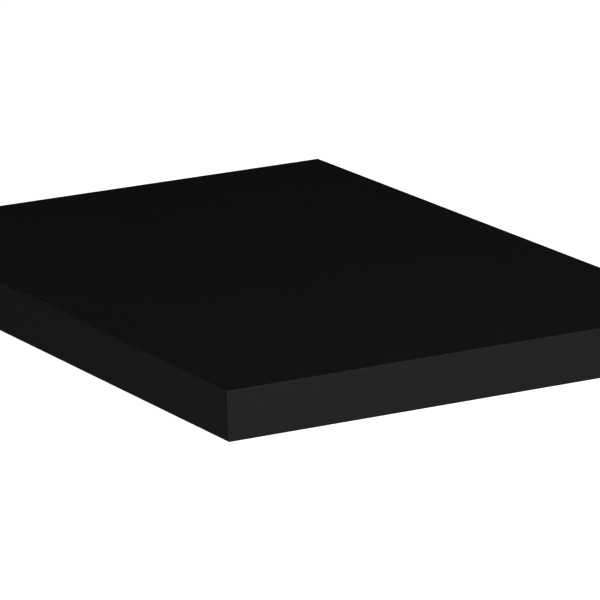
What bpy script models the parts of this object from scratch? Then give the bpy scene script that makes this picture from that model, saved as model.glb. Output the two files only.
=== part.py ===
"""A kick plate: a thick matte black laminated panel, stuck to the foot of a door with foam tape.

The plate lies on its back with its face up. X is its height on the door, with the top at +X,
Y is its width, with its left side at +Y as seen from the front, and Z is its thickness.
The origin is the middle of the plane that the release liners rest on. All sizes are in metres.
"""

import math

import bmesh
import bpy

# The panel, outside to outside.
PLATE_HEIGHT = 0.2032
PLATE_WIDTH = 0.3048
PLATE_THICKNESS = 0.01905

# The sheets and bands that cover the core board, and the room left for each glue line.
LAMINATE_THICKNESS = 0.0008
BAND_THICKNESS = 0.001
GLUE_GAP = 0.0003
EDGE_RADIUS = 0.0003
EDGE_SEGMENTS = 3

# Foam tape strips, in pockets that are milled through the backing into the core.
TAPE_WIDTH = 0.01905
TAPE_THICKNESS = 0.00114
LINER_THICKNESS = 0.00012
LINER_STAND_OFF = 0.0002
POCKET_MARGIN = 0.01905
POCKET_SPACING = 0.0127
POCKET_SIDE_ROOM = 0.0006
POCKET_END_ROOM = 0.0025
POCKET_RADIUS = 0.003175
TAB_LENGTH = 0.0085
TAB_RADIUS = 0.004
ARC_STEPS = 6

# Colours, as linear red, green and blue.
MATTE_BLACK = (0.0137, 0.0137, 0.0137)
SANDED_BLACK = (0.018, 0.018, 0.019)
FIBRE_BROWN = (0.33, 0.22, 0.13)
FOAM_GREY = (0.05, 0.05, 0.052)
FILM_RED = (0.42, 0.03, 0.03)

# What follows from those.
BAND_AND_GLUE = BAND_THICKNESS + GLUE_GAP
CORE_HEIGHT = PLATE_HEIGHT - 2 * BAND_AND_GLUE
CORE_WIDTH = PLATE_WIDTH - 2 * BAND_AND_GLUE
BACK_Z = LINER_STAND_OFF
FACE_Z = BACK_Z + PLATE_THICKNESS
BACKING_TOP_Z = BACK_Z + LAMINATE_THICKNESS
CORE_BOTTOM_Z = BACKING_TOP_Z + GLUE_GAP
LAMINATE_BOTTOM_Z = FACE_Z - LAMINATE_THICKNESS
CORE_TOP_Z = LAMINATE_BOTTOM_Z - GLUE_GAP
TAPE_BOTTOM_Z = LINER_THICKNESS + GLUE_GAP
TAPE_TOP_Z = TAPE_BOTTOM_Z + TAPE_THICKNESS
POCKET_FLOOR_Z = TAPE_TOP_Z + GLUE_GAP
POCKET_WIDTH = TAPE_WIDTH + 2 * POCKET_SIDE_ROOM
CUTTER_BOTTOM_Z = -0.002


def clear_scene():
    for old in list(bpy.data.objects):
        bpy.data.objects.remove(old, do_unlink=True)


def make_material(name, colour, roughness):
    material = bpy.data.materials.new(name)
    material.use_nodes = True
    shader = material.node_tree.nodes["Principled BSDF"]
    shader.inputs["Base Color"].default_value = (*colour, 1.0)
    shader.inputs["Roughness"].default_value = roughness
    shader.inputs["Metallic"].default_value = 0.0
    material.diffuse_color = (*colour, 1.0)
    return material


def make_object(name, mesh, material=None):
    piece = bpy.data.objects.new(name, mesh)
    if material and not mesh.materials:
        mesh.materials.append(material)
    bpy.context.collection.objects.link(piece)
    return piece


def prism_mesh(name, outline, bottom, top):
    """A flat outline, given anticlockwise, drawn up from one level to another."""
    bm = bmesh.new()
    base = bm.faces.new([bm.verts.new((x, y, bottom)) for x, y in outline])
    raised = bmesh.ops.extrude_face_region(bm, geom=[base])["geom"]
    corners = [item for item in raised if isinstance(item, bmesh.types.BMVert)]
    bmesh.ops.translate(bm, verts=corners, vec=(0, 0, top - bottom))
    bmesh.ops.recalc_face_normals(bm, faces=bm.faces)
    mesh = bpy.data.meshes.new(name)
    bm.to_mesh(mesh)
    bm.free()
    return mesh


def rectangle(size_x, size_y):
    half_x = size_x / 2
    half_y = size_y / 2
    return [(-half_x, -half_y), (half_x, -half_y), (half_x, half_y), (-half_x, half_y)]


def corner_arc(corner_x, corner_y, radius, start_degrees):
    """The points of a quarter turn that rounds one corner, or the corner itself if it is square."""
    if radius == 0:
        return [(corner_x, corner_y)]
    middle = math.radians(start_degrees + 45)
    centre_x = corner_x - math.copysign(radius, math.cos(middle))
    centre_y = corner_y - math.copysign(radius, math.sin(middle))
    points = []
    for step in range(ARC_STEPS + 1):
        angle = math.radians(start_degrees + 90 * step / ARC_STEPS)
        points.append((centre_x + radius * math.cos(angle), centre_y + radius * math.sin(angle)))
    return points


def strip_outline(width, low_end, high_end, low_radius, high_radius):
    """A strip along Y from one end to the other, each end with its own corner radius."""
    half = width / 2
    points = corner_arc(half, low_end, low_radius, -90)
    points += corner_arc(half, high_end, high_radius, 0)
    points += corner_arc(-half, high_end, high_radius, 90)
    points += corner_arc(-half, low_end, low_radius, 180)
    return points


def strip_places():
    """Each tape's name, its pocket's centre and length, and its turn from the Y axis."""
    long_x = PLATE_HEIGHT / 2 - POCKET_MARGIN - POCKET_WIDTH / 2
    short_y = PLATE_WIDTH / 2 - POCKET_MARGIN - POCKET_WIDTH / 2
    inner_reach = POCKET_WIDTH / 2 + POCKET_SPACING
    long_length = PLATE_WIDTH - 2 * POCKET_MARGIN
    short_length = 2 * (long_x - inner_reach)
    middle_length = 2 * (short_y - inner_reach)
    quarter_turn = math.pi / 2
    return [
        ("top", long_x, 0, long_length, 0),
        ("bottom", -long_x, 0, long_length, 0),
        ("left", 0, short_y, short_length, quarter_turn),
        ("right", 0, -short_y, short_length, quarter_turn),
        ("middle", 0, 0, middle_length, 0),
    ]


def place_strip(piece, x, y, turn):
    piece.location = (x, y, 0)
    piece.rotation_euler = (0, 0, turn)


def make_pocket_cutters():
    cutters = []
    for name, x, y, length, turn in strip_places():
        outline = strip_outline(POCKET_WIDTH, -length / 2, length / 2, POCKET_RADIUS, POCKET_RADIUS)
        mesh = prism_mesh(f"pocket_cutter_{name}", outline, CUTTER_BOTTOM_Z, POCKET_FLOOR_Z)
        cutter = make_object(f"pocket_cutter_{name}", mesh)
        cutter.display_type = "WIRE"
        cutter.hide_render = True
        place_strip(cutter, x, y, turn)
        cutters.append(cutter)
    return cutters


def cut_pockets(piece, cutters):
    for cutter in cutters:
        cut = piece.modifiers.new(cutter.name, "BOOLEAN")
        cut.operation = "DIFFERENCE"
        cut.solver = "EXACT"
        cut.object = cutter


def make_core_board(cutters):
    fibre = make_material("fibre_board", FIBRE_BROWN, 0.85)
    mesh = prism_mesh("core_board", rectangle(CORE_HEIGHT, CORE_WIDTH), CORE_BOTTOM_Z, CORE_TOP_Z)
    cut_pockets(make_object("core_board", mesh, fibre), cutters)


def make_backing_laminate(cutters):
    black = make_material("backing_laminate", SANDED_BLACK, 0.75)
    mesh = prism_mesh("backing_laminate", rectangle(CORE_HEIGHT, CORE_WIDTH), BACK_Z, BACKING_TOP_Z)
    cut_pockets(make_object("backing_laminate", mesh, black), cutters)


def make_face_laminate():
    black = make_material("face_laminate", MATTE_BLACK, 0.62)
    outline = rectangle(CORE_HEIGHT, CORE_WIDTH)
    mesh = prism_mesh("face_laminate", outline, LAMINATE_BOTTOM_Z, FACE_Z)
    make_object("face_laminate", mesh, black)


def is_exposed(edge, mesh, ends_show):
    """Whether an edge of a band lies on its outer side, or on an end that shows."""
    first, second = [mesh.vertices[index].co for index in edge.vertices]
    outer_x = max(vertex.co.x for vertex in mesh.vertices)
    end_y = max(vertex.co.y for vertex in mesh.vertices)
    upright = abs(first.z - second.z) > GLUE_GAP
    on_outer_side = min(first.x, second.x) > outer_x - GLUE_GAP
    on_an_end = abs(first.y + second.y) / 2 > end_y - GLUE_GAP
    if upright:
        return on_outer_side and ends_show
    return on_outer_side or (on_an_end and ends_show)


def make_band_mesh(name, length, reach, ends_show):
    """A band along Y whose outer side is at the given reach along X, ready to be turned."""
    outline = [(reach + x - BAND_THICKNESS / 2, y) for x, y in rectangle(BAND_THICKNESS, length)]
    mesh = prism_mesh(name, outline, BACK_Z, FACE_Z)
    weights = mesh.attributes.new("bevel_weight_edge", "FLOAT", "EDGE")
    for edge in mesh.edges:
        weights.data[edge.index].value = float(is_exposed(edge, mesh, ends_show))
    return mesh


def make_edge_bands():
    """Two long bands that run from end to end, and two short ones between them."""
    black = make_material("edge_band", MATTE_BLACK, 0.59)
    long_mesh = make_band_mesh("long_band", PLATE_WIDTH, PLATE_HEIGHT / 2, True)
    short_mesh = make_band_mesh("short_band", CORE_HEIGHT, PLATE_WIDTH / 2, False)
    for side, mesh, quarter_turns in (
        ("top", long_mesh, 0),
        ("left", short_mesh, 1),
        ("bottom", long_mesh, 2),
        ("right", short_mesh, 3),
    ):
        band = make_object(f"edge_band_{side}", mesh, black)
        band.rotation_euler.z = quarter_turns * math.pi / 2
        bevel = band.modifiers.new("eased_edge", "BEVEL")
        bevel.limit_method = "WEIGHT"
        bevel.width = EDGE_RADIUS
        bevel.segments = EDGE_SEGMENTS


def make_tapes_and_liners():
    """Each foam tape fills its pocket but for a finger's room, where the liner's tab reaches past."""
    foam = make_material("foam_tape", FOAM_GREY, 0.7)
    film = make_material("liner_film", FILM_RED, 0.35)
    for name, x, y, length, turn in strip_places():
        low_end = POCKET_END_ROOM - length / 2
        liner_end = length / 2 - POCKET_END_ROOM
        tape_end = liner_end - TAB_LENGTH
        tape_outline = strip_outline(TAPE_WIDTH, low_end, tape_end, 0, 0)
        tape_mesh = prism_mesh(f"tape_{name}", tape_outline, TAPE_BOTTOM_Z, TAPE_TOP_Z)
        place_strip(make_object(f"tape_{name}", tape_mesh, foam), x, y, turn)
        liner_outline = strip_outline(TAPE_WIDTH, low_end, liner_end, 0, TAB_RADIUS)
        liner_mesh = prism_mesh(f"liner_{name}", liner_outline, 0, LINER_THICKNESS)
        place_strip(make_object(f"liner_{name}", liner_mesh, film), x, y, turn)


def build_kick_plate():
    clear_scene()
    cutters = make_pocket_cutters()
    make_core_board(cutters)
    make_backing_laminate(cutters)
    make_face_laminate()
    make_edge_bands()
    make_tapes_and_liners()


build_kick_plate()
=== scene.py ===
"""Looks of the kick plate: a matte black laminated panel with edge bands, foam tape and liners.

The plate lies face up, with X up the door, Y along its width and Z out of its face, in metres.
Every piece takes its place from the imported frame, and is cut so that the layers meet closely.
"""

import math

import bmesh
import bpy
from mathutils import Matrix, Vector


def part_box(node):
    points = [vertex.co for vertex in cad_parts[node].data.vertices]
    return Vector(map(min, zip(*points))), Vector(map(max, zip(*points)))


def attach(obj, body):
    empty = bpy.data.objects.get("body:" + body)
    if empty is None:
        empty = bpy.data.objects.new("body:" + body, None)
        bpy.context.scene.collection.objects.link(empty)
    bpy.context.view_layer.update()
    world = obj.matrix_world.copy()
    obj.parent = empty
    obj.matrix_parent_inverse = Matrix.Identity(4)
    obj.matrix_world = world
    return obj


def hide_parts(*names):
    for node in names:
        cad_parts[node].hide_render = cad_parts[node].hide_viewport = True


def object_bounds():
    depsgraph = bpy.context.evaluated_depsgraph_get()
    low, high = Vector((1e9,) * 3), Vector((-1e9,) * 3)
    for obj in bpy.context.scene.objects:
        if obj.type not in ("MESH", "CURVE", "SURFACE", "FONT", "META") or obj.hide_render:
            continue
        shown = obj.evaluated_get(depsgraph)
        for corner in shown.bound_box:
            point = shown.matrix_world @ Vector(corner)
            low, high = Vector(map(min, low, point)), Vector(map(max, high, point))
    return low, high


BODY = "root"
STRIPS = ("top", "bottom", "left", "right", "middle")

# The side that each band is on, a quarter turn about Z after the one before, and whether its ends show.
BANDS = (("top", True), ("left", False), ("bottom", True), ("right", False))

# How closely the layers meet, and how far the bands' and the sheets' edges are rounded.
SEAM = 0.00003
LAYER_GAP = 0.000004
BAND_EDGE_RADIUS = 0.0003
SHEET_EDGE_RADIUS = 0.00002

# How finely the meshes are divided, and from what angle on a strip's edges are sharp.
EDGE_SEGMENTS = 4
CORNER_STEPS = 8
TAPE_SIDE_STEPS = 6
STRIP_STEP = 0.003
SHARP_ANGLE = math.radians(40)

# The pockets that the tapes sit in, measured from each liner's outline.
POCKET_SIDE_ROOM = 0.0006
POCKET_END_ROOM = 0.0025
POCKET_RADIUS = 0.003175

# The foam tape's soft sides: how far they bulge and wander, and how long a radian of each wave is.
TAPE_BULGE = 0.00018
TAPE_WANDER = 0.00005
TAPE_WANDER_LONG = 0.011
TAPE_WANDER_SHORT = 0.0047

# The liner film's rounded tab, the height of its waves, and how long a radian of them is each way.
LINER_TAB_RADIUS = 0.004
LINER_WAVE = 0.00003
LINER_WAVE_ALONG = 0.0063
LINER_WAVE_ACROSS = 0.012

# The camera: its view of the plate, how far it sees, and how far from the near corner its axis passes.
CAMERA_AZIMUTH = math.radians(28.06)
CAMERA_ELEVATION = math.radians(14.378)
CAMERA_ROLL = math.radians(-1.593)
CAMERA_LENS_MM = 341.4
SENSOR_MM = 36.0
CAMERA_FAR_LIMIT = 100.0
CAMERA_DEPTH = 2.0244
AXIS_RIGHT_OF_CORNER = 0.02586
AXIS_ABOVE_CORNER = 0.03235

# Soft boxes: name, compass bearing and height angle in degrees, distance, width and watts.
SOFT_BOXES = (
    ("left_light", 238.0, 10.0, 2.1, 0.8, 26.8),
    ("right_light", 168.0, 20.0, 2.1, 0.8, 6.0),
    ("near_right_light", 165.0, 24.0, 1.5, 0.6, 7.7),
)

# Low strip lights, which lie on the floor beyond the far side and end, and light only those.
STRIP_LIGHT_DISTANCE = 0.45
STRIP_LIGHT_HEIGHT = 0.015
FAR_SIDE_WATTS = 0.6
FAR_END_WATTS = 1.0

# The floor and the sky are white enough to show as pure white.
FLOOR_SIZE = 60.0
FLOOR_WHITE = (0.9, 0.9, 0.9, 1)
FLOOR_ROUGHNESS = 0.9
WHITE_GLOW = 1.02

# The matte black of the face and the bands at its darkest and lightest, and in Blender's viewport.
BLACK_DARKEST = (0.0125, 0.0125, 0.0125)
BLACK_LIGHTEST = (0.0149, 0.0149, 0.0149)
BLACK_IN_VIEWPORT = (0.013, 0.013, 0.013)

# The range that most of a noise texture's values lie in.
NOISE_LOW = 0.3
NOISE_HIGH = 0.7


def rectangle(half_x, half_y):
    """The corners of a rectangle round the origin, anticlockwise."""
    return [(-half_x, -half_y), (half_x, -half_y), (half_x, half_y), (-half_x, half_y)]


def make_camera(near_corner):
    """A long lens that looks past the plate's near corner, tilted a little."""
    along = Vector(
        (
            math.cos(CAMERA_ELEVATION) * math.sin(CAMERA_AZIMUTH),
            math.cos(CAMERA_ELEVATION) * math.cos(CAMERA_AZIMUTH),
            -math.sin(CAMERA_ELEVATION),
        )
    )
    level_right = Vector((math.cos(CAMERA_AZIMUTH), -math.sin(CAMERA_AZIMUTH), 0))
    level_up = level_right.cross(along)
    right = math.cos(CAMERA_ROLL) * level_right + math.sin(CAMERA_ROLL) * level_up
    up = right.cross(along)
    place = near_corner + AXIS_RIGHT_OF_CORNER * right + AXIS_ABOVE_CORNER * up
    place -= CAMERA_DEPTH * along
    data = bpy.data.cameras.new("camera")
    data.lens = CAMERA_LENS_MM
    data.sensor_width = SENSOR_MM
    data.clip_end = CAMERA_FAR_LIMIT
    camera = bpy.data.objects.new("camera", data)
    camera.matrix_world = Matrix.Translation(place) @ Matrix((right, up, -along)).transposed().to_4x4()
    bpy.context.scene.collection.objects.link(camera)
    bpy.context.scene.camera = camera


def make_area_light(name, place, outward, width, height, watts):
    """A flat light that faces back along the outward direction, unseen by the camera."""
    data = bpy.data.lights.new(name, "AREA")
    data.shape = "RECTANGLE"
    data.size = width
    data.size_y = height
    data.energy = watts
    light = bpy.data.objects.new(name, data)
    light.location = place
    light.rotation_euler = outward.to_track_quat("Z", "Y").to_euler()
    light.visible_camera = False
    bpy.context.scene.collection.objects.link(light)


def make_soft_box(name, bearing, height_angle, distance, width, watts):
    """A square light that faces the plate from a compass bearing, 0 along +Y and 90 along +X."""
    turn = math.radians(bearing)
    tilt = math.radians(height_angle)
    outward = Vector((math.sin(turn) * math.cos(tilt), math.cos(turn) * math.cos(tilt), math.sin(tilt)))
    make_area_light(name, outward * distance, outward, width, width, watts)


def make_strip_light(name, outward, reach, length, watts):
    """A low light on the floor beyond the side of the plate that faces outward, as long as that side."""
    place = outward * (reach + STRIP_LIGHT_DISTANCE) + Vector((0, 0, STRIP_LIGHT_HEIGHT / 2))
    make_area_light(name, place, outward, length, STRIP_LIGHT_HEIGHT, watts)


def make_floor_and_sky():
    """A plain white floor under a white sky. Neither lights the plate: the lamps do."""
    mesh = bpy.data.meshes.new("floor")
    corners = [(x, y, 0) for x, y in rectangle(FLOOR_SIZE / 2, FLOOR_SIZE / 2)]
    mesh.from_pydata(corners, [], [(0, 1, 2, 3)])
    floor = bpy.data.objects.new("floor", mesh)
    bpy.context.scene.collection.objects.link(floor)
    material = bpy.data.materials.new("floor")
    material.use_nodes = True
    shader = material.node_tree.nodes["Principled BSDF"]
    shader.inputs["Base Color"].default_value = FLOOR_WHITE
    shader.inputs["Roughness"].default_value = FLOOR_ROUGHNESS
    shader.inputs["Emission Color"].default_value = (1, 1, 1, 1)
    shader.inputs["Emission Strength"].default_value = WHITE_GLOW
    mesh.materials.append(material)
    floor.visible_diffuse = False
    floor.visible_glossy = False
    world = bpy.data.worlds.new("sky")
    bpy.context.scene.world = world
    world.use_nodes = True
    background = world.node_tree.nodes["Background"]
    background.inputs["Color"].default_value = (1, 1, 1, 1)
    background.inputs["Strength"].default_value = WHITE_GLOW
    world.cycles_visibility.diffuse = False
    world.cycles_visibility.glossy = False
    bpy.context.scene.view_settings.view_transform = "Standard"


def make_lights(plate_low, plate_high):
    """The soft boxes that light what the camera sees, and a strip light for each side that it doesn't."""
    size = plate_high - plate_low
    for soft_box in SOFT_BOXES:
        make_soft_box(*soft_box)
    make_strip_light("far_side_light", Vector((1, 0, 0)), plate_high.x, size.y, FAR_SIDE_WATTS)
    make_strip_light("far_end_light", Vector((0, 1, 0)), plate_high.y, size.x, FAR_END_WATTS)


class Surface:
    """A Principled material whose colour, roughness and bump come from textures at real scale."""

    def __init__(self, name, specular, viewport_colour):
        self.material = bpy.data.materials.new(name)
        self.material.use_nodes = True
        self.material.diffuse_color = (*viewport_colour, 1)
        self.tree = self.material.node_tree
        self.shader = self.tree.nodes["Principled BSDF"]
        self.shader.inputs["Specular IOR Level"].default_value = specular
        self.place = self.tree.nodes.new("ShaderNodeTexCoord").outputs["Object"]
        self.normal = None

    def stretched(self, scale):
        """The place on the piece, with each axis counted in its own unit."""
        mapping = self.tree.nodes.new("ShaderNodeMapping")
        mapping.inputs["Scale"].default_value = scale
        self.tree.links.new(self.place, mapping.inputs["Vector"])
        return mapping.outputs["Vector"]

    def noise(self, size, detail, stretch=(1, 1, 1)):
        """Cloudy noise with features about size metres across, and longer where stretch is under 1."""
        node = self.tree.nodes.new("ShaderNodeTexNoise")
        node.inputs["Scale"].default_value = 1
        node.inputs["Detail"].default_value = detail
        self.tree.links.new(self.stretched([axis / size for axis in stretch]), node.inputs["Vector"])
        return node.outputs["Fac"]

    def cells(self, size):
        """The distance to the nearest of points that lie about size metres apart."""
        node = self.tree.nodes.new("ShaderNodeTexVoronoi")
        node.inputs["Scale"].default_value = 1
        self.tree.links.new(self.stretched([1 / size] * 3), node.inputs["Vector"])
        return node.outputs["Distance"]

    def colour(self, factor, dark, light, start=NOISE_LOW, end=NOISE_HIGH):
        """The base colour, from dark to light as a texture goes from start to end."""
        ramp = self.tree.nodes.new("ShaderNodeValToRGB")
        ramp.color_ramp.elements[0].position = start
        ramp.color_ramp.elements[0].color = (*dark, 1)
        ramp.color_ramp.elements[1].position = end
        ramp.color_ramp.elements[1].color = (*light, 1)
        self.tree.links.new(factor, ramp.inputs["Fac"])
        self.tree.links.new(ramp.outputs["Color"], self.shader.inputs["Base Color"])

    def roughness(self, factor, low, high):
        """The roughness, from low to high as a noise texture goes through its usual range."""
        node = self.tree.nodes.new("ShaderNodeMapRange")
        node.inputs["From Min"].default_value = NOISE_LOW
        node.inputs["From Max"].default_value = NOISE_HIGH
        node.inputs["To Min"].default_value = low
        node.inputs["To Max"].default_value = high
        self.tree.links.new(factor, node.inputs["Value"])
        self.tree.links.new(node.outputs["Result"], self.shader.inputs["Roughness"])

    def bump(self, height, depth):
        """Adds relief that is depth metres deep where the texture goes from 0 to 1."""
        node = self.tree.nodes.new("ShaderNodeBump")
        node.inputs["Strength"].default_value = 1.0
        node.inputs["Distance"].default_value = depth
        self.tree.links.new(height, node.inputs["Height"])
        if self.normal:
            self.tree.links.new(self.normal, node.inputs["Normal"])
        self.normal = node.outputs["Normal"]
        self.tree.links.new(self.normal, self.shader.inputs["Normal"])


def face_laminate_surface():
    """Dead matte pressed laminate: a suede-fine pebble grain over a very faint press texture."""
    surface = Surface("face_laminate", specular=0.25, viewport_colour=BLACK_IN_VIEWPORT)
    surface.colour(surface.noise(size=0.0011, detail=3), dark=BLACK_DARKEST, light=BLACK_LIGHTEST)
    surface.roughness(surface.noise(size=0.035, detail=3), low=0.6, high=0.64)
    surface.bump(surface.noise(size=0.0013, detail=2), depth=0.00002)
    surface.bump(surface.cells(size=0.00032), depth=0.00002)
    return surface.material


def edge_band_surface():
    """Extruded plastic band: lines drawn along its length under an embossed fine grain."""
    surface = Surface("edge_band", specular=0.25, viewport_colour=BLACK_IN_VIEWPORT)
    along = (1, 0.02, 1)
    surface.colour(surface.noise(size=0.0009, detail=3), dark=BLACK_DARKEST, light=BLACK_LIGHTEST)
    surface.roughness(surface.noise(size=0.0006, detail=2, stretch=along), low=0.56, high=0.62)
    surface.bump(surface.noise(size=0.0005, detail=2, stretch=along), depth=0.00001)
    surface.bump(surface.cells(size=0.00038), depth=0.00002)
    return surface.material


def backing_laminate_surface():
    """Plain black sheet, sanded along its height so that glue would hold."""
    surface = Surface("backing_laminate", specular=0.3, viewport_colour=(0.018, 0.018, 0.019))
    along = (0.03, 1, 1)
    scratches = surface.noise(size=0.0007, detail=4, stretch=along)
    surface.colour(scratches, dark=(0.014, 0.014, 0.015), light=(0.024, 0.024, 0.025))
    surface.roughness(surface.noise(size=0.02, detail=3), low=0.7, high=0.8)
    surface.bump(surface.noise(size=0.0003, detail=3, stretch=along), depth=0.000012)
    return surface.material


def core_board_surface():
    """Milled fibreboard: pale brown fibres, felted and fuzzy."""
    surface = Surface("core_board", specular=0.2, viewport_colour=(0.33, 0.22, 0.13))
    fibres = surface.noise(size=0.0006, detail=6)
    surface.colour(fibres, dark=(0.2, 0.125, 0.07), light=(0.42, 0.3, 0.185), start=0.25, end=0.75)
    surface.roughness(surface.noise(size=0.002, detail=4), low=0.85, high=0.95)
    surface.bump(surface.noise(size=0.00025, detail=5), depth=0.00005)
    return surface.material


def foam_tape_surface():
    """Dark grey foam with fine closed cells and a tacky skin."""
    surface = Surface("foam_tape", specular=0.4, viewport_colour=(0.05, 0.05, 0.052))
    foam = surface.cells(size=0.00022)
    surface.colour(foam, dark=(0.036, 0.036, 0.038), light=(0.062, 0.062, 0.064), start=0.1, end=0.6)
    surface.roughness(surface.noise(size=0.003, detail=3), low=0.6, high=0.8)
    surface.bump(surface.cells(size=0.00018), depth=0.00002)
    return surface.material


def release_liner_surface():
    """Red film with a satin skin, faintly crazed where it was wound on its roll."""
    surface = Surface("release_liner", specular=0.5, viewport_colour=(0.42, 0.03, 0.03))
    tint = surface.noise(size=0.004, detail=4)
    surface.colour(tint, dark=(0.36, 0.022, 0.024), light=(0.46, 0.036, 0.036))
    surface.roughness(surface.noise(size=0.0025, detail=4), low=0.3, high=0.42)
    surface.bump(surface.noise(size=0.006, detail=3, stretch=(1, 0.4, 1)), depth=0.00003)
    surface.bump(surface.cells(size=0.0008), depth=0.000006)
    return surface.material


def mesh_from(name, bm):
    """Turns a closed bmesh into a mesh whose faces point out."""
    bmesh.ops.recalc_face_normals(bm, faces=bm.faces)
    mesh = bpy.data.meshes.new(name)
    bm.to_mesh(mesh)
    bm.free()
    return mesh


def finished_piece(name, bm, material, node):
    """Puts a finished shape in the scene, in place of its CAD node."""
    mesh = mesh_from(name, bm)
    mesh.materials.append(material)
    piece = bpy.data.objects.new(name, mesh)
    bpy.context.scene.collection.objects.link(piece)
    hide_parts(node)
    return piece


def prism(outline, bottom, top):
    """A flat outline, given anticlockwise, drawn up from one level to another."""
    bm = bmesh.new()
    base = bm.faces.new([bm.verts.new((x, y, bottom)) for x, y in outline])
    raised = bmesh.ops.extrude_face_region(bm, geom=[base])["geom"]
    corners = [item for item in raised if isinstance(item, bmesh.types.BMVert)]
    bmesh.ops.translate(bm, verts=corners, vec=(0, 0, top - bottom))
    return bm


def quarter_arc(corner, centre, radius, start):
    """The rounded corner's points, from the start angle on, or the corner itself if it is square."""
    if radius == 0:
        return [corner]
    points = []
    for step in range(CORNER_STEPS + 1):
        angle = math.radians(start + 90 * step / CORNER_STEPS)
        points.append((centre[0] + radius * math.cos(angle), centre[1] + radius * math.sin(angle)))
    return points


def strip_outline(half_width, low_end, high_end, low_radius, high_radius):
    """A strip along Y, anticlockwise, each end with its own corner radius."""
    points = []
    for side, end, radius, start in (
        (1, low_end, low_radius, -90),
        (1, high_end, high_radius, 0),
        (-1, high_end, high_radius, 90),
        (-1, low_end, low_radius, 180),
    ):
        inward = 1 if end == low_end else -1
        centre = (side * (half_width - radius), end + inward * radius)
        points += quarter_arc((side * half_width, end), centre, radius, start)
    return points


def mark_edges(bm, chosen):
    """Marks the chosen edges for the bevel that finish_edges adds, and the others as sharp."""
    weight = bm.edges.layers.float.new("bevel_weight_edge")
    for edge in bm.edges:
        edge.smooth = chosen(*[vertex.co for vertex in edge.verts])
        edge[weight] = float(edge.smooth)


def finish_edges(piece, radius):
    """Rounds the marked edges. The faces are smooth, and the sharp edges keep the flats flat."""
    for polygon in piece.data.polygons:
        polygon.use_smooth = True
    bevel = piece.modifiers.new("eased_edges", "BEVEL")
    bevel.limit_method = "WEIGHT"
    bevel.width = radius
    bevel.segments = EDGE_SEGMENTS
    bevel.harden_normals = True


class Strip:
    """One tape's place: its middle, its turn from the Y axis, and its liner's size."""

    def __init__(self, name):
        self.name = name
        low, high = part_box(f"liner_{name}")
        tape_low, tape_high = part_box(f"tape_{name}")
        size = high - low
        across = size.x > size.y
        self.turn = math.pi / 2 if across else 0.0
        self.half_width = min(size.x, size.y) / 2
        self.liner_half_length = max(size.x, size.y) / 2
        self.middle = (low + high) / 2
        self.liner_bottom = low.z
        self.liner_top = high.z
        self.tape_bottom = high.z + LINER_WAVE + LAYER_GAP
        self.tape_top = self.tape_bottom + tape_high.z - tape_low.z
        tape_size = tape_high - tape_low
        tape_length = tape_size.x if across else tape_size.y
        self.tape_high_end = tape_length - self.liner_half_length

    def put(self, piece):
        """Lays a piece that was made along Y at the origin in the strip's place."""
        piece.rotation_euler.z = self.turn
        piece.location = (self.middle.x, self.middle.y, 0)
        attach(piece, BODY)


def make_sheet(name, node, half_x, half_y, faces_up, material):
    """A flat sheet at its node's level, with the edges of its outer side eased."""
    low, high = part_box(node)
    outer_z = high.z if faces_up else low.z
    bm = prism(rectangle(half_x, half_y), low.z, high.z)
    mark_edges(bm, lambda a, b: abs(a.z - outer_z) + abs(b.z - outer_z) < SEAM)
    piece = finished_piece(name, bm, material, node)
    finish_edges(piece, SHEET_EDGE_RADIUS)
    return piece


def cut_pockets(piece, strips):
    """Cuts the tapes' pockets out of a board, as deep as the tapes, and keeps the result as its mesh."""
    cutters = []
    for strip in strips:
        half_length = strip.liner_half_length + POCKET_END_ROOM
        half_width = strip.half_width + POCKET_SIDE_ROOM
        outline = strip_outline(half_width, -half_length, half_length, POCKET_RADIUS, POCKET_RADIUS)
        bm = prism(outline, strip.liner_bottom, strip.tape_top + LAYER_GAP)
        cutter = bpy.data.objects.new("cutter", mesh_from("cutter", bm))
        cutter.location = (strip.middle.x, strip.middle.y, 0)
        cutter.rotation_euler.z = strip.turn
        bpy.context.scene.collection.objects.link(cutter)
        cut = piece.modifiers.new("pocket", "BOOLEAN")
        cut.operation = "DIFFERENCE"
        cut.solver = "EXACT"
        cut.object = cutter
        cutters.append(cutter)
    bpy.context.view_layer.update()
    cut_mesh = bpy.data.meshes.new_from_object(piece.evaluated_get(bpy.context.evaluated_depsgraph_get()))
    piece.modifiers.clear()
    piece.data = cut_mesh
    for cutter in cutters:
        bpy.data.objects.remove(cutter, do_unlink=True)


def make_board_and_sheets(strips):
    """The core board between its face and its backing, with the pockets cut from behind."""
    half_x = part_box("edge_band_top")[0].x - SEAM
    half_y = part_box("edge_band_left")[0].y - SEAM
    black = face_laminate_surface()
    sanded = backing_laminate_surface()
    face = make_sheet("face_sheet", "face_laminate", half_x, half_y, True, black)
    backing = make_sheet("backing_sheet", "backing_laminate", half_x, half_y, False, sanded)
    core_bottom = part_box("backing_laminate")[1].z + LAYER_GAP
    core_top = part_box("face_laminate")[0].z - LAYER_GAP
    board = prism(rectangle(half_x, half_y), core_bottom, core_top)
    core = finished_piece("core_panel", board, core_board_surface(), "core_board")
    cut_pockets(backing, strips)
    cut_pockets(core, strips)
    for piece in (face, backing, core):
        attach(piece, BODY)


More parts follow.
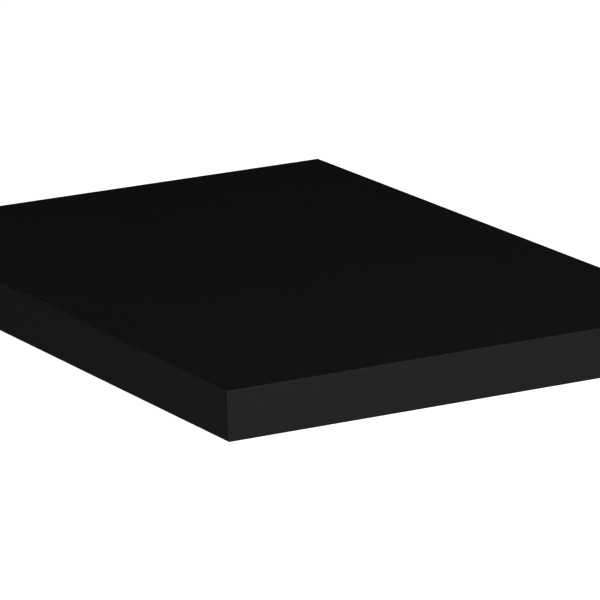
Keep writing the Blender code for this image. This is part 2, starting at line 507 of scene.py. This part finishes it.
def make_edge_band(side, quarter_turns, ends_show, material):
    """A band made along Y with its outer side at +X, then turned to its own side of the plate."""
    node = f"edge_band_{side}"
    turn = Matrix.Rotation(quarter_turns * math.pi / 2, 3, "Z")
    corners = [turn.inverted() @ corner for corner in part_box(node)]
    outer = max(corner.x for corner in corners)
    inner = min(corner.x for corner in corners)
    bottom, top = sorted(corner.z for corner in corners)
    half_length = max(corner.y for corner in corners)
    if not ends_show:
        half_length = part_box("edge_band_top")[0].x - SEAM
    outline = [(inner, -half_length), (outer, -half_length), (outer, half_length), (inner, half_length)]

    def shows(a, b):
        """Whether an edge lies on the outer side, or on an end that shows."""
        at_outer_side = min(a.x, b.x) > outer - SEAM
        at_an_end = abs(a.y + b.y) / 2 > half_length - SEAM
        if abs(a.z - b.z) > SEAM:
            return at_outer_side and ends_show
        return at_outer_side or (at_an_end and ends_show)

    bm = prism(outline, bottom, top)
    mark_edges(bm, shows)
    band = finished_piece(f"band_{side}", bm, material, node)
    finish_edges(band, BAND_EDGE_RADIUS)
    band.rotation_euler.z = quarter_turns * math.pi / 2
    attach(band, BODY)


def make_foam_strip(strip, material):
    """Foam tape with soft, slightly uneven sides, cut square at its ends."""
    low_end = -strip.liner_half_length
    length = strip.tape_high_end - low_end
    stations = math.ceil(length / STRIP_STEP)
    thickness = strip.tape_top - strip.tape_bottom
    bm = bmesh.new()
    rings = []
    for station in range(stations + 1):
        y = low_end + length * station / stations
        ring = []
        for side in (1, -1):
            waves = math.sin(y / TAPE_WANDER_LONG + side) + math.sin(y / TAPE_WANDER_SHORT + 2 * side)
            for step in range(TAPE_SIDE_STEPS + 1):
                rise = step / TAPE_SIDE_STEPS
                if side < 0:
                    rise = 1 - rise
                bulge = TAPE_BULGE * math.sin(math.pi * rise)
                x = side * (strip.half_width - TAPE_BULGE + bulge + TAPE_WANDER * waves)
                ring.append(bm.verts.new((x, y, strip.tape_bottom + rise * thickness)))
        rings.append(ring)
    for near, far in zip(rings, rings[1:]):
        for index in range(len(near)):
            after = (index + 1) % len(near)
            bm.faces.new((near[index], near[after], far[after], far[index]))
    bm.faces.new(rings[0])
    bm.faces.new(rings[-1])
    name = f"foam_strip_{strip.name}"
    piece = finished_piece(name, bm, material, f"tape_{strip.name}")
    piece.data.shade_smooth()
    piece.data.set_sharp_from_angle(angle=SHARP_ANGLE)
    strip.put(piece)


def make_liner_film(strip, material):
    """The film that covers the tape, with a rounded tab past its end, lying in slight waves."""
    half = strip.liner_half_length
    outline = strip_outline(strip.half_width, -half, half, 0, LINER_TAB_RADIUS)
    bm = prism(outline, strip.liner_bottom, strip.liner_top)
    steps = math.ceil(2 * half / STRIP_STEP)
    for step in range(1, steps):
        everything = [*bm.verts, *bm.edges, *bm.faces]
        place = (0, half * (2 * step / steps - 1), 0)
        bmesh.ops.bisect_plane(bm, geom=everything, plane_co=place, plane_no=(0, 1, 0))
    for vertex in bm.verts:
        phase = vertex.co.y / LINER_WAVE_ALONG + vertex.co.x / LINER_WAVE_ACROSS
        vertex.co.z += LINER_WAVE * (1 + math.sin(phase)) / 2
    name = f"liner_film_{strip.name}"
    piece = finished_piece(name, bm, material, f"liner_{strip.name}")
    piece.data.shade_smooth()
    piece.data.set_sharp_from_angle(angle=SHARP_ANGLE)
    strip.put(piece)


def make_plate():
    """All seventeen pieces, each in the place of its CAD node."""
    strips = [Strip(name) for name in STRIPS]
    make_board_and_sheets(strips)
    band_material = edge_band_surface()
    for quarter_turns, (side, ends_show) in enumerate(BANDS):
        make_edge_band(side, quarter_turns, ends_show, band_material)
    foam_material = foam_tape_surface()
    film_material = release_liner_surface()
    for strip in strips:
        make_foam_strip(strip, foam_material)
        make_liner_film(strip, film_material)


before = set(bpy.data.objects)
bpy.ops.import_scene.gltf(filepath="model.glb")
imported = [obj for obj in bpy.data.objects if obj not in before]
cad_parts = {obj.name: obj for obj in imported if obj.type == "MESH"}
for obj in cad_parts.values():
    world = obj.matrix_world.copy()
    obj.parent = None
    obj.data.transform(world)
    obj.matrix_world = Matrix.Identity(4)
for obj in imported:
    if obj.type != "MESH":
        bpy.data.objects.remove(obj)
cad_low, cad_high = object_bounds()
make_camera(Vector((cad_low.x, cad_low.y, cad_high.z)))
make_floor_and_sky()
make_lights(cad_low, cad_high)
make_plate()
